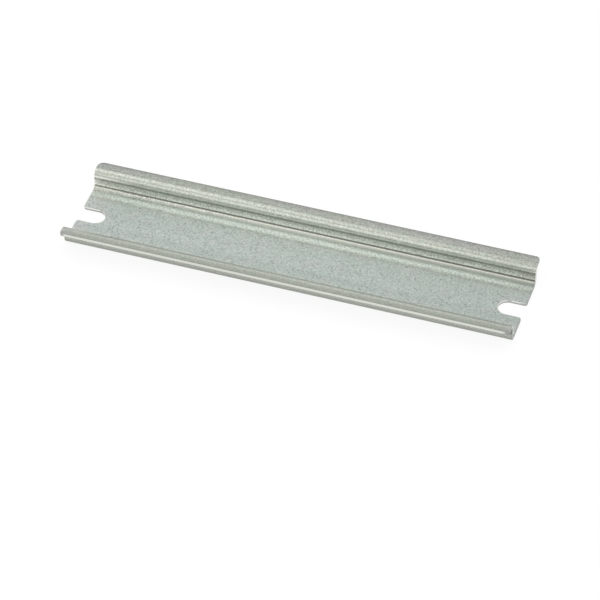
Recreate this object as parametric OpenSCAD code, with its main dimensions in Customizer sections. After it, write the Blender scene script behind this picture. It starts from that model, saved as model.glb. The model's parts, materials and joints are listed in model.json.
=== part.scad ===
// A short length of 35 mm top-hat mounting rail (DIN rail), rolled from one
// strip of zinc-plated steel, with an open screw slot punched in each end.
//
// The rail lies along X on the back of its web and opens towards +Z. The origin
// is the centre of the web's back face. All sizes are in millimetres.

/* [Section] */
// Width over both flanges
overall_w = 35; // [34:0.1:40]
// Clear width of the channel, between the inner faces of the walls
channel_w = 25.2; // [20:0.1:26.4]
// Height from the back of the web to the top of the flanges
depth = 7.5; // [6.5:0.1:15]
// Thickness of the strip
sheet_t = 1; // [0.8:0.1:1.5]
// Inside radius of the bends between the web and the walls
foot_r = 1.2; // [0.4:0.1:1.9]
// Inside radius of the bends between the walls and the flanges
head_r = 1.7; // [0.4:0.1:2]

/* [Length] */
// Length of the rail
rail_len = 140; // [60:1:2000]
// Radius on the flanges' outer corners
flange_corner_r = 1.3; // [0.2:0.1:2]

/* [End slots] */
// Width of each slot, which is the diameter of its closed end too
slot_w = 6.2; // [4.2:0.1:10]
// Depth of each slot, from the end of the rail to the bottom of the closed end
slot_depth = 8; // [6:0.5:20]
// Radius on both corners of a slot's mouth
mouth_r = 0.8; // [0.2:0.1:2]

/* [Hidden] */
$fn = 96;

// Inner and outer face of a wall, measured from the rail's middle
wall_in = channel_w / 2;
wall_out = wall_in + sheet_t;
// Centre of the bend between web and wall, in the section
foot_centre = [wall_in - foot_r, sheet_t + foot_r];
// Centre of the bend between wall and flange
head_centre = [wall_out + head_r, depth - sheet_t - head_r];
// Outer edge of a flange
flange_edge = overall_w / 2;
// Centre of a slot's closed end, along the rail
slot_seat = rail_len / 2 - slot_depth + slot_w / 2;
// How far a cut runs past the face that it leaves by
past = 1;

// A quarter turn of the strip round the origin, with inside radius r. The signs
// in side say which quarter.
module bend(r, side) {
    outer_r = r + sheet_t;
    intersection() {
        difference() {
            circle(r = outer_r);
            circle(r = r);
        }
        translate([min(side.x, 0), min(side.y, 0)] * outer_r)
            square(outer_r);
    }
}

// One half of the section, from the middle of the web to a flange's edge.
module half_section() {
    square([foot_centre.x, sheet_t]);
    translate(foot_centre) bend(foot_r, [1, -1]);
    translate([wall_in, foot_centre.y])
        square([sheet_t, head_centre.y - foot_centre.y]);
    translate(head_centre) bend(head_r, [-1, 1]);
    translate([head_centre.x, depth - sheet_t])
        square([flange_edge - head_centre.x, sheet_t]);
}

module section() {
    half_section();
    mirror([1, 0]) half_section();
}

// What rounding a corner to radius r cuts away. The corner is at the origin,
// and its metal lies towards -X and -Y.
module corner_waste(r) {
    translate([-r, -r])
        difference() {
            square(r + past);
            circle(r = r);
        }
}

// Plan of the screw slot in the rail's +X end, with its rounded mouth.
module slot_plan() {
    translate([slot_seat, 0]) circle(d = slot_w);
    translate([slot_seat, -slot_w / 2])
        square([rail_len / 2 + past - slot_seat, slot_w]);
    for (side = [0, 1])
        mirror([0, side])
            translate([rail_len / 2, -slot_w / 2]) corner_waste(mouth_r);
}

// Plan of what is cut off the flanges' two corners at the rail's +X end.
module flange_corner_plan() {
    for (side = [0, 1])
        mirror([0, side])
            translate([rail_len / 2, flange_edge]) corner_waste(flange_corner_r);
}

module rail() {
    color([0.72, 0.75, 0.72])
        difference() {
            rotate([90, 0, 90])
                linear_extrude(height = rail_len, center = true) section();
            for (end = [0, 1])
                mirror([end, 0, 0])
                    translate([0, 0, -past])
                        linear_extrude(height = depth + 2 * past) {
                            slot_plan();
                            flange_corner_plan();
                        }
        }
}

rail();
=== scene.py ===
"""Looks of the DIN rail: the rolled strip with its sheared edges, its zinc finish with painted light and
shade in it, and the studio.

The strip is cut as a flat blank and then bent, the way the real one is made.
Lengths in the rail's own geometry are in millimetres until the mesh is written.
"""

import json
import math

import bmesh
import bpy
from mathutils import Matrix, Vector


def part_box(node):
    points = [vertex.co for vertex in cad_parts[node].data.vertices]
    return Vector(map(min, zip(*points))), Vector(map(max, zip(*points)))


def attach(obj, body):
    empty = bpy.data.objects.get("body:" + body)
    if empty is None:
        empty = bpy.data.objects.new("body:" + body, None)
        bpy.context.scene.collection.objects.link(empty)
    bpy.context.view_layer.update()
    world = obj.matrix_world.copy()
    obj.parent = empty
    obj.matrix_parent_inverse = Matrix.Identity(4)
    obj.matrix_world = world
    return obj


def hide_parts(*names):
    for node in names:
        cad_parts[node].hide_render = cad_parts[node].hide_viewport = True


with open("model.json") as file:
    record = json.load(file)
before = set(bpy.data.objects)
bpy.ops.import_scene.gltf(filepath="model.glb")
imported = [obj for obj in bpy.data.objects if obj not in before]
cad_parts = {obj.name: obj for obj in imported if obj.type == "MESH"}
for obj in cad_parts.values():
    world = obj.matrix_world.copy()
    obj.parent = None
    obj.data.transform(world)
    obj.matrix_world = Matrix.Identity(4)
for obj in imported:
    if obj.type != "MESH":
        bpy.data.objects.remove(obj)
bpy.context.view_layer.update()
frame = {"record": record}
MM = 0.001

# ---------------------------------------------------------------- sizes, from the frame
LOW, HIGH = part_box("rail")
LENGTH = (HIGH[0] - LOW[0]) / MM
WIDTH = (HIGH[1] - LOW[1]) / MM
HEIGHT = (HIGH[2] - LOW[2]) / MM
LEFT, RIGHT = -LENGTH / 2, LENGTH / 2
MOUNTS = {mount["name"]: mount for mount in frame["record"]["mounts"]}
SLOT_DIMS = MOUNTS["screw_slot_right"]["dims"]
SLOT_R = SLOT_DIMS["r_mm"]
SHEET = SLOT_DIMS["length_mm"]
SLOT_SEAT = MOUNTS["screw_slot_right"]["pos_m"][0] / MM

# ---------------------------------------------------------------- sizes of the section
WALL_IN = 12.6  # inner face of a wall, from the middle
FOOT_R = 1.2  # inside radius of the bend between web and wall
HEAD_R = 1.7  # inside radius of the bend between wall and flange
MOUTH_R = 0.8  # corners of a slot's mouth
RIM_R = 0.12  # rounding left by the shear along every cut edge
# radius of each flange corner: (end, side) -> mm; the shear leaves them unequal
CORNER_R = {(-1, 1): 2.1, (-1, -1): 1.0, (1, 1): 1.25, (1, -1): 1.2}

FOOT_Y = WALL_IN - FOOT_R
FOOT_Z = SHEET + FOOT_R
HEAD_Y = WALL_IN + SHEET + HEAD_R
HEAD_Z = HEIGHT - SHEET - HEAD_R
FOOT_MID = FOOT_R + SHEET / 2
HEAD_MID = HEAD_R + SHEET / 2
QUARTER = math.pi / 2

# developed distance from the web's middle to the end of each stretch of the strip
S_WEB = FOOT_Y
S_FOOT = S_WEB + FOOT_MID * QUARTER
S_WALL = S_FOOT + HEAD_Z - FOOT_Z
S_HEAD = S_WALL + HEAD_MID * QUARTER
S_EDGE = S_HEAD + WIDTH / 2 - HEAD_Y

# how finely the blank is drawn and divided
CORNER_STEPS, MOUTH_STEPS, SEAT_STEPS, RIM_STEPS = 12, 10, 40, 4
WEB_LINES, WEB_GAP = 4, 2.4  # lines to each side of the web's middle, and mm between them
BENT_LINES = ((S_WEB, S_FOOT, 14), (S_FOOT, S_WALL, 4), (S_WALL, S_HEAD, 18))
CROSS_LAST, CROSS_GAP = 60, 4  # mm: the last line across the rail, and between them
SPLIT_REACH = 1e-5  # mm: a point this near a dividing line is taken to be on it
SLIT_FALL = 4  # how quickly the slit edge's finish gives out round a corner


# ---------------------------------------------------------------- the blank and its bends
def arc(centre, radius, start, turn, steps, inward=False):
    """Points and outward normals along an arc; inward for an arc that hollows the blank."""
    points = []
    for step in range(steps + 1):
        angle = start + turn * step / steps
        normal = Vector((math.cos(angle), math.sin(angle)))
        point = Vector(centre) + normal * radius
        points.append((point, -normal if inward else normal))
    return points


def blank_end(end):
    """The blank's outline at one end (+1 or -1) as (point, normal), in the order that goes round it."""
    r_near, r_far = CORNER_R[(end, -1)], CORNER_R[(end, 1)]
    mouth_s = SLOT_R + MOUTH_R
    outline = []
    outline += arc((RIGHT - r_near, -S_EDGE + r_near), r_near, -QUARTER, QUARTER, CORNER_STEPS)
    outline += arc((RIGHT - MOUTH_R, -mouth_s), MOUTH_R, 0, QUARTER, MOUTH_STEPS)
    outline += arc((SLOT_SEAT, 0), SLOT_R, -QUARTER, -math.pi, SEAT_STEPS, inward=True)
    outline += arc((RIGHT - MOUTH_R, mouth_s), MOUTH_R, -QUARTER, QUARTER, MOUTH_STEPS)
    outline += arc((RIGHT - r_far, S_EDGE - r_far), r_far, 0, QUARTER, CORNER_STEPS)
    if end < 0:
        outline = [(Vector((-p.x, p.y)), Vector((-n.x, n.y))) for p, n in reversed(outline)]
    return outline


def bend_point(x, s, n):
    """Where the blank's point at (x, s), at height n over its middle, goes, and how far it turns."""
    side = 1 if s >= 0 else -1
    d = abs(s)
    if d <= S_WEB:
        y, z, turn = d, SHEET / 2 + n, 0.0
    elif d <= S_FOOT:
        turn = (d - S_WEB) / FOOT_MID
        y = FOOT_Y + (FOOT_MID - n) * math.sin(turn)
        z = FOOT_Z - (FOOT_MID - n) * math.cos(turn)
    elif d <= S_WALL:
        turn = QUARTER
        y, z = WALL_IN + SHEET / 2 - n, FOOT_Z + d - S_FOOT
    elif d <= S_HEAD:
        turn = QUARTER - (d - S_WALL) / HEAD_MID
        y = HEAD_Y - (HEAD_MID + n) * math.sin(turn)
        z = HEAD_Z + (HEAD_MID + n) * math.cos(turn)
    else:
        y, z, turn = HEAD_Y + d - S_HEAD, HEIGHT - SHEET / 2 + n, 0.0
    return Vector((x, side * y, z)), side * turn


def rim_steps():
    """(inset, height, tilt) of each line round the blank's cut edge, from its top face to its back."""
    top = []
    for k in range(RIM_STEPS + 1):
        tilt = QUARTER * (1 - k / RIM_STEPS)
        inset = RIM_R * (1 - math.cos(tilt))
        height = SHEET / 2 - RIM_R * (1 - math.sin(tilt))
        top.append((inset, height, tilt))
    return top + [(inset, -height, -tilt) for inset, height, tilt in reversed(top)]


def cut_lines():
    """Developed distances at which the blank is divided, so that it bends smoothly."""
    lines = [WEB_GAP * k for k in range(-WEB_LINES, WEB_LINES + 1)]
    for start, stop, count in BENT_LINES:
        for k in range(count):
            place = start + (stop - start) * k / count
            lines += [place, -place]
    return lines + [S_HEAD, -S_HEAD]


def new_layers(bm):
    """What each point of the blank carries for the finish: its place on the strip and its cut."""
    layers = {"flat_normal": bm.verts.layers.float_vector.new("flat_normal")}
    for name in ("strip_s", "level", "cut_face", "slit_edge"):
        layers[name] = bm.verts.layers.float.new(name)
    return layers


def rim_loop(bm, layers, outline, inset, height, tilt):
    """One line of points round the blank's cut edge."""
    loop = []
    for point, normal in outline:
        flat = point - normal * inset
        lean = normal * math.cos(tilt)
        vert = bm.verts.new((flat.x, flat.y, height))
        vert[layers["flat_normal"]] = (lean.x, lean.y, math.sin(tilt))
        vert[layers["cut_face"]] = math.cos(tilt)
        on_flange = abs(point.y) > S_HEAD
        vert[layers["slit_edge"]] = abs(normal.y) ** SLIT_FALL if on_flange else 0.0
        loop.append(vert)
    return loop


def add_blank(bm, layers):
    """The flat blank: the rounded cut edge all round it, its top face and its back."""
    outline = blank_end(1) + blank_end(-1)
    loops = [rim_loop(bm, layers, outline, *step) for step in rim_steps()]
    count = len(outline)
    for upper, lower in zip(loops, loops[1:]):
        for k in range(count):
            j = (k + 1) % count
            bm.faces.new((upper[k], lower[k], lower[j], upper[j]))
    bm.faces.new(loops[0])
    bm.faces.new(list(reversed(loops[-1])))


def divide_blank(bm):
    """Lines along the blank where it bends, and lines across it."""
    across = range(-CROSS_LAST, CROSS_LAST + 1, CROSS_GAP)
    planes = [((0, s, 0), (0, 1, 0)) for s in cut_lines()]
    planes += [((x, 0, 0), (1, 0, 0)) for x in across]
    for place, normal in planes:
        everything = bm.verts[:] + bm.edges[:] + bm.faces[:]
        bmesh.ops.bisect_plane(
            bm, geom=everything, dist=SPLIT_REACH, plane_co=place, plane_no=normal
        )


def bend_blank(bm, layers):
    """Bends each point into its place, in metres, and gives the normals there."""
    normals = []
    for vert in bm.verts:
        x, s, n = vert.co
        vert[layers["strip_s"]] = s
        vert[layers["level"]] = 2 * n / SHEET
        place, turn = bend_point(x, s, n)
        normal = Matrix.Rotation(turn, 3, "X") @ vert[layers["flat_normal"]]
        vert.co = place * MM
        normals.append(normal.normalized())
    return normals


def rail_mesh():
    """The rail's mesh: the blank drawn flat, divided, bent and given its normals."""
    bm = bmesh.new()
    layers = new_layers(bm)
    add_blank(bm, layers)
    divide_blank(bm)
    normals = bend_blank(bm, layers)
    for face in bm.faces:
        face.smooth = True
    bm.normal_update()
    mesh = bpy.data.meshes.new("rail_finish")
    bm.to_mesh(mesh)
    bm.free()
    mesh.normals_split_custom_set_from_vertices(normals)
    return mesh


# ---------------------------------------------------------------- material building
PLAIN = (1, 1, 1, 1)  # leaves a tone as it is
NOISE_LOW, NOISE_HIGH = 0.25, 0.75  # the range that noise seldom leaves


class Wiring:
    """A node tree, with short calls for the nodes that the materials use."""

    def __init__(self, name):
        self.material = bpy.data.materials.new(name)
        self.material.use_nodes = True
        self.tree = self.material.node_tree
        self.tree.nodes.clear()

    def add(self, kind, inputs=None, **settings):
        node = self.tree.nodes.new("ShaderNode" + kind)
        for name, value in settings.items():
            setattr(node, name, value)
        for name, value in (inputs or {}).items():
            self.put(node.inputs[name], value)
        return node

    def put(self, socket, value):
        if isinstance(value, bpy.types.NodeSocket):
            self.tree.links.new(value, socket)
        else:
            socket.default_value = value

    def math(self, operation, first, second=0.0, clamp=False):
        node = self.add("Math", {0: first, 1: second}, operation=operation, use_clamp=clamp)
        return node.outputs[0]

    def plus(self, first, second):
        return self.math("ADD", first, second)

    def minus(self, first, second):
        return self.math("SUBTRACT", first, second)

    def times(self, first, *others):
        for other in others:
            first = self.math("MULTIPLY", first, other)
        return first

    def attribute(self, name):
        return self.add("Attribute", attribute_name=name).outputs["Fac"]

    def ramp(self, value, low, high, start=0.0, stop=1.0):
        """A smooth step from start to stop as the value goes from low to high."""
        inputs = {"Value": value, "From Min": low, "From Max": high, "To Min": start, "To Max": stop}
        return self.add("MapRange", inputs, interpolation_type="SMOOTHSTEP").outputs["Result"]

    def band(self, value, centre, half):
        """1 where the value is at the centre, falling smoothly to 0 at half a band away."""
        off = self.math("ABSOLUTE", self.minus(value, centre))
        return self.ramp(off, 0.0, half, 1.0, 0.0)

    def along(self):
        """Millimetres along the rail from its middle."""
        where = self.add("TexCoord").outputs["Object"]
        return self.math("DIVIDE", self.add("SeparateXYZ", {"Vector": where}).outputs["X"], MM)

    def on_strip(self, along=1.0, across=1.0, seed=0.0):
        """Millimetres along and across the flat strip, divided by how far marks stretch each way."""
        x = self.math("DIVIDE", self.along(), along)
        s = self.math("DIVIDE", self.attribute("strip_s"), across)
        depth = self.plus(self.attribute("level"), seed)
        return self.add("CombineXYZ", {"X": x, "Y": s, "Z": depth}).outputs["Vector"]

    def noise(self, vector, size, detail=2.0, roughness=0.5):
        """Noise whose largest features are about this many millimetres apart."""
        inputs = {"Vector": vector, "Scale": 1 / size, "Detail": detail, "Roughness": roughness}
        return self.add("TexNoise", inputs).outputs["Fac"]

    def grain(self, size, swing, seed=0, along=1.0, across=1.0, detail=2.0, roughness=0.6):
        """Fine marks on the strip: from minus the swing where they darken it to plus the swing."""
        marks = self.noise(self.on_strip(along, across, seed), size, detail, roughness)
        return self.ramp(marks, NOISE_LOW, NOISE_HIGH, -swing, swing)

    def scale_colour(self, colour, factor):
        node = self.add("VectorMath", {0: colour, "Scale": factor}, operation="SCALE")
        return node.outputs["Vector"]

    def blend(self, factor, first, second):
        inputs = {"Factor": factor, 6: first, 7: second}
        return self.add("Mix", inputs, data_type="RGBA").outputs[2]

    def follow(self, value, low, high, stops):
        """A tone that passes through the stops as the value goes from low to high."""
        share = self.math("DIVIDE", self.minus(value, low), high - low)
        ramp = self.add("ValToRGB", {"Fac": share})
        elements = ramp.color_ramp.elements
        for index, (distance, tone) in enumerate(stops):
            place = (distance - low) / (high - low)
            element = elements[index] if index < 2 else elements.new(place)
            element.position = place
            element.color = (tone, tone, tone, 1)
        return ramp.outputs["Color"]


# ---------------------------------------------------------------- zinc-plated steel: hues
# the main hues come from the same fit to the photograph as the tones below, and were trimmed since
BLUE_ZINC = (0.932, 1.0, 0.95, 1)  # the passivation on the flat web
TEAL_ZINC = (0.887, 1.0, 0.928, 1)  # and its greener clouds
ROLLED_ZINC = (0.937, 1.0, 0.89, 1)  # warmer where the rolls pressed on it
CREASED_ZINC = (1.0, 1.0, 0.885, 1)  # brown in the bend at the wall's foot
WALL_ZINC = (1.005, 0.995, 0.943, 1)  # grey on the wall
# the pale band is a painted reflection of the lit wall on the web
PALE_ZINC = (0.91, 1.0, 0.922, 1)  # bluish in the pale band beside the bend
STRAW_ZINC = (1.0, 0.99, 0.85, 1)  # the odd yellow fleck in the bends
MAUVE_ZINC = (0.985, 0.98, 0.955, 1)  # patches on the far flange
BACK_ZINC = (0.945, 0.99, 0.895, 1)  # greenish all over the back
END_ZINC = (0.965, 1.0, 0.965, 1)  # grey where the rail was cut to length
SHEARED = (0.715, 0.735, 0.67, 1)  # the bright upper part of the strip's slit edge
TORN = (0.41, 0.43, 0.39, 1)  # the dull lower part of it
PUNCHED = (0.48, 0.49, 0.46, 1)  # the ends and slots, cut in a press
BROKEN = (0.27, 0.28, 0.26, 1)  # their lower part, where the sheet broke away
# partly a real burr, partly a painted highlight on the cut's rim
BURR_AND_HIGHLIGHT = (0.88, 0.88, 0.84, 1)  # the bright burr along them

# hues that take over in a band along the strip: (middle of the band, half its width, hue)
TINTED_BANDS = (
    (S_WEB - 1.0, 1.6, PALE_ZINC),
    (S_FOOT - 0.55, 1.6, CREASED_ZINC),
    (S_WALL - 1.4, 3.0, WALL_ZINC),
)

# ---------------------------------------------------------------- zinc-plated steel: tones, with painted light and shade
# The four tables of tone below, across the strip, for the near half and two along the rail, were not
# chosen by hand.
# A scratch program solved for the tones that give the photograph's average brightness across the rail.
# Others printed the corrections made since, across and along it. The values were then thinned and
# rounded. They are likely to hold some of that picture's own light and shade. ROUGHNESS was chosen.

# tone along the strip on the channel's side, with painted highlights, painted shade and a painted
# reflection in it: (distance from the web's middle, value)
TONE_AND_PAINTED_LIGHT = (
    (0.0, 0.65),
    (S_WEB - 4.2, 0.67),
    (S_WEB - 3.1, 0.62),
    # painted reflection: the pale band beside the bend, lit by the wall
    (S_WEB - 2.1, 0.86),
    (S_WEB - 1.0, 0.89),
    (S_WEB - 0.1, 0.67),
    (S_WEB + 1.0, 0.43),
    # painted highlight along the bend at the wall's foot
    (S_WEB + 1.5, 0.61),
    (S_WEB + 1.9, 0.65),
    # the crease at the wall's foot: partly a mark in the plating, partly painted shade in the corner
    (S_FOOT - 0.35, 0.16),
    (S_FOOT - 0.05, 0.25),
    # painted light and shade on the wall: lighter low down, as if lit by the web, darker upwards to a
    # painted shade line just under the upper bend
    (S_FOOT + 0.2, 0.91),
    (S_FOOT + 0.7, 0.80),
    (S_FOOT + 1.2, 0.59),
    (S_WALL - 0.7, 0.51),
    (S_WALL - 0.3, 0.31),
    (S_WALL, 0.24),
    # painted highlights along the upper bend
    (S_WALL + 0.3, 0.61),
    (S_WALL + 0.6, 0.99),
    (S_WALL + 0.8, 0.64),
    (S_WALL + 1.1, 0.43),
    (S_WALL + 1.3, 0.56),
    (S_WALL + 1.8, 0.49),
    (S_WALL + 2.3, 0.59),
    (S_WALL + 2.7, 0.55),
    (S_HEAD - 0.5, 0.47),
    (S_HEAD, 0.53),
    (S_HEAD + 0.9, 0.49),
    (S_EDGE - 0.6, 0.43),
    (S_EDGE, 0.33),
)
# how much darker or brighter the near half is, by the same distance: its painted light and shade
NEAR_LIGHT_AND_SHADE = (
    (0.0, 1.0),
    (S_WEB - 9.0, 1.0),
    (S_WEB - 6.8, 0.91),
    (S_WEB - 5.2, 0.94),
    (S_WALL, 0.94),
    # painted shade in the middle of the near upper bend
    (S_HEAD - 1.7, 0.45),
    (S_HEAD - 1.3, 0.70),
    (S_HEAD - 0.9, 1.0),
    # painted highlight on the near upper bend
    (S_HEAD - 0.3, 1.26),
    (S_HEAD + 0.3, 1.05),
    (S_HEAD + 1.0, 0.97),
    (S_EDGE - 0.5, 1.11),
    (S_EDGE, 0.92),
)
ROUGHNESS = (
    (0.0, 0.45),
    (S_WEB - 2.9, 0.45),
    (S_WEB - 2.2, 0.60),
    (S_WEB - 0.4, 0.60),
    (S_WEB + 0.8, 0.28),
    (S_FOOT - 0.5, 0.26),
    (S_FOOT + 0.4, 0.45),
    (S_WALL - 0.9, 0.35),
    (S_WALL + 0.3, 0.24),
    (S_HEAD - 0.6, 0.24),
    (S_HEAD + 0.4, 0.35),
    (S_EDGE, 0.35),
)
BACK_ROUGHNESS = (0.35, 0.35, 0.35, 1)
# painted light along the rail, from its left end to its right, brightest left of the middle and falling
# off to both ends: (mm from its middle, value)
LIGHT_FALLOFF = (
    (-70.0, 0.95),
    (-59.0, 0.96),
    (-43.0, 1.01),
    (-20.0, 1.05),
    (4.0, 1.04),
    (28.0, 1.0),
    (48.0, 0.96),
    (60.0, 0.91),
    (70.0, 0.88),
)
# the same painted fall of light, for the upper bend and the flange
HEAD_LIGHT_FALLOFF = (
    (-70.0, 0.94),
    (-56.0, 0.96),
    (-40.0, 1.0),
    (-10.0, 1.03),
    (30.0, 1.04),
    (50.0, 1.01),
    (70.0, 0.97),
)

# ---------------------------------------------------------------- zinc-plated steel: grain
# each is what Wiring.grain takes: mm between marks, how far they swing, and how they stretch
WEB_GRAIN = {"size": 0.60, "swing": 0.17}
PALE_GRAIN = {"size": 0.45, "swing": 0.24, "seed": 17, "across": 2}
CREASE_GRAIN = {"size": 0.34, "swing": 0.42, "seed": 43, "along": 1.3}
WALL_GRAIN = {"size": 0.28, "swing": 0.40, "seed": 23, "across": 2.5}
HEAD_STREAKS = {"size": 0.4, "swing": 0.08, "seed": 19, "along": 3, "detail": 1, "roughness": 0.5}
HEAD_GRAIN = {"size": 0.23, "swing": 0.22, "seed": 41, "across": 2}
FLANGE_GRAIN = {"size": 0.22, "swing": 0.52, "seed": 31}
BACK_GRAIN = {"size": 0.25, "swing": 0.50, "seed": 37, "across": 1.2}
NEAR_CALM = 0.66  # the near flange's grain, as a share of the far one's
PINHOLE_GAP = 0.52  # mm between the places where the web may have a pinhole
PINHOLE_DEPTH = 1.6
# the pale band is a painted reflection: the lit wall's light on the web beside the bend
PALE_MID, PALE_HALF = S_WEB - 1.5, 1.3  # the pale band beside the bend
# the crease is darkened partly as a mark, partly as painted shade in the corner
CREASE_MID, CREASE_HALF = S_FOOT - 0.25, 0.4  # the dark crease at the wall's foot
BUMP_DEPTH, BUMP_STRENGTH = 0.00008, 0.4
PALE_DULLNESS = 0.5  # how much less metallic the pale band is


def along_strip(w, strip, stops):
    """A tone that follows the stops as the distance from the web's middle grows."""
    return w.follow(strip, 0.0, S_EDGE, stops)


def along_rail(w, stops):
    """A tone that follows the stops from the left end of the rail to the right."""
    return w.follow(w.along(), LEFT, RIGHT, stops)


def web_tint(w):
    """Blue plating with greener clouds in it."""
    clouds = w.ramp(w.noise(w.on_strip(seed=7), 3.2, 1.0), 0.35, 0.65)
    return w.blend(clouds, TEAL_ZINC, BLUE_ZINC)


def rolled_tint(w, strip, far):
    """Warmer plating with straw flecks in the upper bend and mauve patches on the far flange."""
    flecks = w.ramp(w.noise(w.on_strip(along=2, seed=3), 1.0), 0.52, 0.66, 0.0, 0.6)
    flecks = w.times(flecks, w.band(strip, (S_WALL + S_HEAD) / 2, 2.6))
    bend = w.blend(flecks, ROLLED_ZINC, STRAW_ZINC)
    patches = w.ramp(w.noise(w.on_strip(along=2.5, seed=5), 6.0, 1.0), 0.45, 0.65, 0.0, 0.7)
    flange = w.times(w.ramp(strip, S_HEAD - 0.8, S_HEAD + 0.2), far)
    return w.blend(w.times(patches, flange), bend, MAUVE_ZINC)


def end_tint(w, strip, tint):
    """Greyer flats and yellower bends close to the left end, a trace of grey at the right one."""
    x = w.along()
    left = w.ramp(x, LEFT + 1, LEFT + 7, 0.7, 0.0)
    right = w.ramp(x, RIGHT - 6, RIGHT, 0.0, 0.4)
    rolled = w.ramp(strip, S_WEB - 5, S_WEB - 2)
    rolled = w.times(rolled, w.ramp(strip, S_HEAD - 1.2, S_HEAD, 1.0, 0.0))
    grey = w.times(w.math("MAXIMUM", left, right), w.minus(1.0, rolled))
    straw = w.times(w.ramp(x, LEFT, LEFT + 12, 0.2, 0.0), rolled)
    return w.blend(straw, w.blend(grey, tint, END_ZINC), STRAW_ZINC)


def zinc_tint(w, strip, far, front):
    """The hue of the plating: blue on the web, warmer and patchy where it was rolled."""
    rolled = w.ramp(strip, S_WEB - 6.0, S_WEB + 0.6)
    tint = w.blend(rolled, web_tint(w), rolled_tint(w, strip, far))
    for middle, half, hue in TINTED_BANDS:
        tint = w.blend(w.band(strip, middle, half), tint, hue)
    return end_tint(w, strip, w.blend(front, BACK_ZINC, tint))


def specks(w):
    """Scattered dark pinholes in the plating of the web, thicker in some places than in others."""
    crowd = w.ramp(w.noise(w.on_strip(seed=11), 4.0, 1.0), 0.3, 0.7, 0.82, 0.48)
    cells = w.add("TexVoronoi", {"Vector": w.on_strip(seed=13), "Scale": 1 / PINHOLE_GAP})
    chance = w.add("SeparateColor", {0: cells.outputs["Color"]}).outputs[0]
    strength = w.math("MULTIPLY", w.minus(chance, crowd), PINHOLE_DEPTH, clamp=True)
    dot = w.ramp(cells.outputs["Distance"], 0.20, 0.50, 1.0, 0.0)
    return w.minus(1.0, w.times(dot, strength))


def creased_tone(w, strip):
    """Speckles in the bend at the wall's foot, strongest to the left, where the crease's mark and painted
    shade are lighter.
    """
    x = w.along()
    speckles = w.times(w.grain(**CREASE_GRAIN), w.ramp(x, LEFT + 20, LEFT + 62, 1.0, 0.3))
    crease = w.band(strip, CREASE_MID, CREASE_HALF)
    # lightens the crease's mark and painted shade towards the left end
    fainter = w.times(crease, w.ramp(x, LEFT, LEFT + 35, 0.45, 0.0))
    return w.times(w.plus(speckles, 1.0), w.plus(fainter, 1.0))


def zinc_tone(w, strip, far, front):
    """Mottle, specks and streaks: how much lighter or darker than its surroundings a spot is."""
    web = w.times(w.plus(w.grain(**WEB_GRAIN), 1.0), specks(w))
    pale = w.plus(w.grain(**PALE_GRAIN), 1.0)
    wall = w.plus(w.grain(**WALL_GRAIN), 1.0)
    head = w.plus(w.plus(w.grain(**HEAD_STREAKS), w.grain(**HEAD_GRAIN)), 1.0)
    calm = w.ramp(far, 0.0, 1.0, NEAR_CALM, 1.0)
    flange = w.plus(w.times(w.grain(**FLANGE_GRAIN), calm), 1.0)
    back = w.plus(w.grain(**BACK_GRAIN), 1.0)
    tone = w.blend(w.ramp(strip, S_WEB - 2.6, S_WEB - 2.2), web, pale)
    tone = w.blend(w.ramp(strip, S_WEB - 0.4, S_WEB + 0.2), tone, creased_tone(w, strip))
    tone = w.blend(w.ramp(strip, S_FOOT - 0.5, S_FOOT), tone, wall)
    tone = w.blend(w.ramp(strip, S_WALL, S_WALL + 0.5), tone, head)
    tone = w.blend(w.band(strip, S_WALL + 0.1, 0.9), tone, flange)
    tone = w.blend(w.ramp(strip, S_HEAD - 1.0, S_HEAD - 0.4), tone, flange)
    return w.blend(front, back, tone)


def wall_end_light_and_shade(w, strip):
    """Painted light and shade on the wall near the ends: paler, most of all its upper part, and darker at
    the very right.
    """
    x = w.along()
    tone = w.ramp(x, LEFT, LEFT + 18, 1.15, 1.0)
    tone = w.times(tone, w.ramp(x, RIGHT - 24, RIGHT - 10, 1.0, 1.09))
    tone = w.times(tone, w.ramp(x, RIGHT - 4, RIGHT, 1.0, 0.94))
    lift = w.ramp(x, LEFT, LEFT + 36, 0.17, 0.0)
    lift = w.plus(lift, w.ramp(x, RIGHT - 24, RIGHT - 8, 0.0, 0.07))
    lift = w.times(lift, w.ramp(strip, S_WALL - 1.5, S_WALL - 0.7))
    return w.times(tone, w.plus(lift, 1.0))


def pale_reflection_fade(w):
    """The pale band's painted reflection, which fades out towards both ends."""
    x = w.along()
    tone = w.times(w.ramp(x, LEFT, LEFT + 13, 0.86, 1.0), w.ramp(x, RIGHT - 8, RIGHT - 1, 1.0, 0.85))
    return w.times(tone, w.ramp(x, -20, 35, 1.01, 1.05))


def ends_light_and_shade(w, strip):
    """Painted light and shade near the rail's ends, on the wall and in the pale band."""
    on_wall = w.ramp(strip, S_FOOT - 0.6, S_FOOT - 0.3)
    on_wall = w.times(on_wall, w.ramp(strip, S_WALL, S_WALL + 0.5, 1.0, 0.0))
    tone = w.blend(w.band(strip, PALE_MID, PALE_HALF), PLAIN, pale_reflection_fade(w))
    return w.blend(on_wall, tone, wall_end_light_and_shade(w, strip))


def light_falloff(w, strip):
    """The painted fall of light along the rail: least on the web, most on the bends and walls."""
    rolled = w.ramp(strip, S_WEB - 3.4, S_WEB - 2.4, 0.35, 1.0)
    lower = w.blend(rolled, PLAIN, along_rail(w, LIGHT_FALLOFF))
    head = w.ramp(strip, S_HEAD - 0.4, S_HEAD + 0.4, 1.0, 0.4)
    upper = w.blend(head, PLAIN, along_rail(w, HEAD_LIGHT_FALLOFF))
    return w.blend(w.ramp(strip, S_WALL - 0.2, S_WALL + 0.3), lower, upper)


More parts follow.
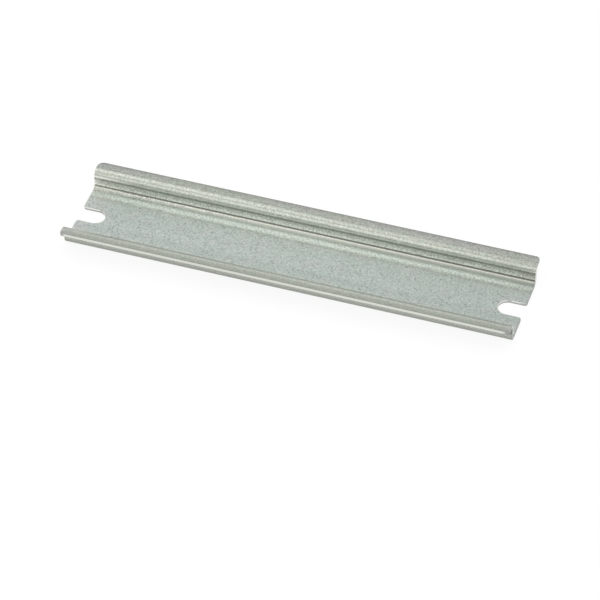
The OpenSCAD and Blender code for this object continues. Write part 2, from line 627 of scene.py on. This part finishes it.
def near_light_and_shade(w, strip):
    """The near half's painted light and shade, with painted shade deeper in its upper bend at the left
    end.
    """
    x = w.along()
    last = w.ramp(x, LEFT + 1, LEFT + 4, 0.4, 0.0)
    # painted shade in the near upper bend close to the left end
    fold_shade = w.times(last, w.band(strip, S_HEAD - 1.3, 0.8))
    tone = w.times(along_strip(w, strip, NEAR_LIGHT_AND_SHADE), w.minus(1.0, fold_shade))
    return w.times(tone, w.ramp(x, LEFT, 0, 1.05, 1.0))


def back_tone_and_shade(w, strip):
    """The plain back, with painted shade: darker underneath the web and its bend, and dark in the recess
    under a flange.
    """
    # painted shade: darker underneath the web and its bend
    tone = w.ramp(strip, S_FOOT - 0.9, S_FOOT + 0.6, 0.33, 0.45)
    # painted shade in the recess under a flange
    return w.times(tone, w.ramp(strip, S_FOOT + 0.6, S_FOOT + 1.6, 1.0, 0.55))


def zinc_brightness(w, strip, far, front):
    """Base colour before mottle, with painted light and shade: bands along the strip, the near half, the
    ends, the fall along the rail, the back.
    """
    near_or_far = w.blend(far, near_light_and_shade(w, strip), PLAIN)
    channel = w.times(along_strip(w, strip, TONE_AND_PAINTED_LIGHT), near_or_far, ends_light_and_shade(w, strip), light_falloff(w, strip))
    return w.blend(front, back_tone_and_shade(w, strip), channel)


def punched_edge(w, strip, level):
    """A press cut: a bright burr, partly a painted highlight, here and there along the top, darker where
    the sheet broke away; the web's end faces painted darker as painted shade.
    """
    off_flange = w.ramp(strip, S_WALL, S_HEAD, 1.0, 0.0)
    clean = w.times(w.ramp(level, -0.7, 0.0), w.ramp(strip, S_WALL, S_HEAD, 1.0, 0.45))
    # partly a burr, partly a painted highlight along the rim
    burr_and_highlight = w.ramp(w.noise(w.on_strip(seed=29), 3.0, 1.0), 0.38, 0.46)
    burr_and_highlight = w.times(burr_and_highlight, w.ramp(level, 0.1, 0.5), off_flange)
    cut = w.blend(burr_and_highlight, w.blend(clean, BROKEN, PUNCHED), BURR_AND_HIGHLIGHT)
    # painted shade: the web's end faces darkened
    off_middle = w.math("ABSOLUTE", w.along())
    web_end_shade = w.ramp(off_middle, RIGHT - 0.3, RIGHT - 0.1)
    web_end_shade = w.times(web_end_shade, w.ramp(strip, S_WEB, S_FOOT, 0.9, 0.0))
    return w.blend(web_end_shade, cut, BROKEN)


def slit_part(w):
    """1 along the slit edge of a flange, falling to 0 where the corners were nipped off."""
    x = w.along()
    left = w.ramp(x, LEFT + 0.6, LEFT + 1.8)
    right = w.ramp(x, RIGHT - 2.2, RIGHT - 0.7, 1.0, 0.0)
    return w.times(w.attribute("slit_edge"), left, right)


def zinc_colour(w, strip, level, front):
    """The plated faces and, where the strip was cut, the bare steel."""
    far = w.ramp(w.attribute("strip_s"), -0.5, 0.5)
    colour = w.scale_colour(zinc_tint(w, strip, far, front), zinc_brightness(w, strip, far, front))
    colour = w.scale_colour(colour, zinc_tone(w, strip, far, front))
    slit = w.blend(w.ramp(level, -0.9, -0.45), TORN, SHEARED)
    cut = w.blend(slit_part(w), punched_edge(w, strip, level), slit)
    return w.blend(w.attribute("cut_face"), colour, cut)


def zinc_plate():
    # the rail's material: zinc plating, with painted light and shade in its base colour
    w = Wiring("zinc_finish_and_painted_light")
    strip = w.math("ABSOLUTE", w.attribute("strip_s"))
    level = w.attribute("level")
    front = w.ramp(level, -0.2, 0.2)
    colour = zinc_colour(w, strip, level, front)
    rough = w.blend(front, BACK_ROUGHNESS, along_strip(w, strip, ROUGHNESS))
    pale = w.times(w.band(strip, PALE_MID, PALE_HALF), front)
    metal = w.minus(1.0, w.times(pale, PALE_DULLNESS))
    height = w.noise(w.on_strip(), 0.5, 2.0, 0.6)
    bump = w.add("Bump", {"Height": height, "Strength": BUMP_STRENGTH, "Distance": BUMP_DEPTH})
    shader = w.add("BsdfPrincipled", {"Metallic": metal, "Base Color": colour, "Roughness": rough})
    w.put(shader.inputs["Normal"], bump.outputs["Normal"])
    out = w.add("OutputMaterial")
    w.put(out.inputs["Surface"], shader.outputs["BSDF"])
    return w.material


# ---------------------------------------------------------------- floor
FLOOR_HALF = 4.0  # metres
TABLE_WHITE = (0.85, 0.85, 0.85, 1)
SHADOW_SHARE = (0.15, 0.15, 0.15, 1)  # what of the table's own light is seen, shadow included
WHITE_GLOW = 0.88  # what lifts it to white


def white_floor():
    """A white table: for camera, mirror and glass rays it is lifted to white, and keeps the shadow."""
    w = Wiring("floor")
    rays = w.add("LightPath").outputs
    seen = w.math("MAXIMUM", rays["Is Camera Ray"], rays["Is Glossy Ray"])
    seen = w.math("MAXIMUM", seen, rays["Is Transmission Ray"])
    table = w.add("BsdfDiffuse", {"Color": TABLE_WHITE})
    dimmed = w.add("BsdfDiffuse", {"Color": SHADOW_SHARE})
    glow = w.add("Emission", {"Color": (1, 1, 1, 1), "Strength": WHITE_GLOW})
    lifted = w.add("AddShader", {0: dimmed.outputs[0], 1: glow.outputs[0]})
    both = w.add("MixShader", {0: seen, 1: table.outputs[0], 2: lifted.outputs[0]})
    out = w.add("OutputMaterial")
    w.put(out.inputs["Surface"], both.outputs[0])
    return w.material


def add_object(name, mesh, material):
    obj = bpy.data.objects.new(name, mesh)
    bpy.context.scene.collection.objects.link(obj)
    mesh.materials.clear()
    mesh.materials.append(material)
    return obj


def make_floor():
    mesh = bpy.data.meshes.new("floor")
    corners = [(-1, -1), (1, -1), (1, 1), (-1, 1)]
    mesh.from_pydata([(x * FLOOR_HALF, y * FLOOR_HALF, 0) for x, y in corners], [], [(0, 1, 2, 3)])
    floor = add_object("floor", mesh, white_floor())


# ---------------------------------------------------------------- studio
AMBIENT = 0.85
BACK_OF_ROOM = 0.66
BACK_STARTS, BACK_ENDS = 0.70, 1.0  # where the room darkens: 0 is to the side and 1 straight back


def make_world():
    """A white room, darker low down behind the rail."""
    world = bpy.data.worlds.new("studio")
    bpy.context.scene.world = world
    world.use_nodes = True
    tree = world.node_tree
    where = tree.nodes.new("ShaderNodeTexCoord")
    split = tree.nodes.new("ShaderNodeSeparateXYZ")
    fade = tree.nodes.new("ShaderNodeMapRange")
    fade.interpolation_type = "SMOOTHSTEP"
    fade.inputs["From Min"].default_value = BACK_STARTS
    fade.inputs["From Max"].default_value = BACK_ENDS
    fade.inputs["To Min"].default_value = AMBIENT
    fade.inputs["To Max"].default_value = BACK_OF_ROOM
    tree.links.new(where.outputs["Generated"], split.inputs["Vector"])
    tree.links.new(split.outputs["Y"], fade.inputs["Value"])
    background = tree.nodes["Background"]
    background.inputs["Color"].default_value = (1, 1, 1, 1)
    tree.links.new(fade.outputs["Result"], background.inputs["Strength"])


def softbox(name, place, width, height, brightness):
    """A lamp aimed at the rail, whose face is this much brighter than the room behind it."""
    data = bpy.data.lights.new(name, "AREA")
    data.shape = "RECTANGLE"
    data.size = width
    data.size_y = height
    data.energy = brightness * math.pi * width * height
    lamp = bpy.data.objects.new(name, data)
    lamp.location = place
    lamp.rotation_euler = Vector(place).to_track_quat("Z", "Y").to_euler()
    bpy.context.scene.collection.objects.link(lamp)


def from_front(elevation, distance, x):
    """A place this many degrees above the front edge of the table, and x to the right."""
    angle = math.radians(elevation)
    return (x, -distance * math.cos(angle), distance * math.sin(angle))


def make_lamps():
    overhead = from_front(elevation=84, distance=1.0, x=-0.45)
    softbox("overhead", overhead, width=1.0, height=0.30, brightness=0.68)
    front = from_front(elevation=28, distance=1.2, x=-0.26)
    softbox("front", front, width=1.6, height=0.85, brightness=0.41)


# ---------------------------------------------------------------- camera
# fitted by a scratch program to the rail's outline in the photograph, in degrees and mm
AZIMUTH, ELEVATION, ROLL = 17.4992, 42.4893, 0.53197
DISTANCE = 1112.0  # mm from the camera to the rail
AIM_RIGHT, AIM_UP = 0.2935, -10.9053  # mm from the rail's middle to the middle of the picture
SENSOR, LENS = 36.0, 222.106


def make_camera():
    """A long lens looking down on the rail from the front, a little to its right."""
    az, el, roll = (math.radians(angle) for angle in (AZIMUTH, ELEVATION, ROLL))
    forward = Vector((-math.sin(az) * math.cos(el), math.cos(az) * math.cos(el), -math.sin(el)))
    level_right = Vector((math.cos(az), math.sin(az), 0))
    level_up = level_right.cross(forward)
    right = level_right * math.cos(roll) + level_up * math.sin(roll)
    up = right.cross(forward)
    place = right * AIM_RIGHT + up * AIM_UP - forward * DISTANCE
    data = bpy.data.cameras.new("camera")
    data.sensor_width = SENSOR
    data.lens = LENS
    camera = bpy.data.objects.new("camera", data)
    bpy.context.scene.collection.objects.link(camera)
    turn = Matrix((right, up, -forward)).transposed()
    camera.matrix_world = Matrix.Translation(place * MM) @ turn.to_4x4()
    bpy.context.scene.camera = camera


make_camera()
make_world()
make_lamps()
make_floor()
rail = add_object("rail_finish", rail_mesh(), zinc_plate())
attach(rail, "root")
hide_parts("rail")
bpy.context.scene.view_settings.view_transform = "Standard"
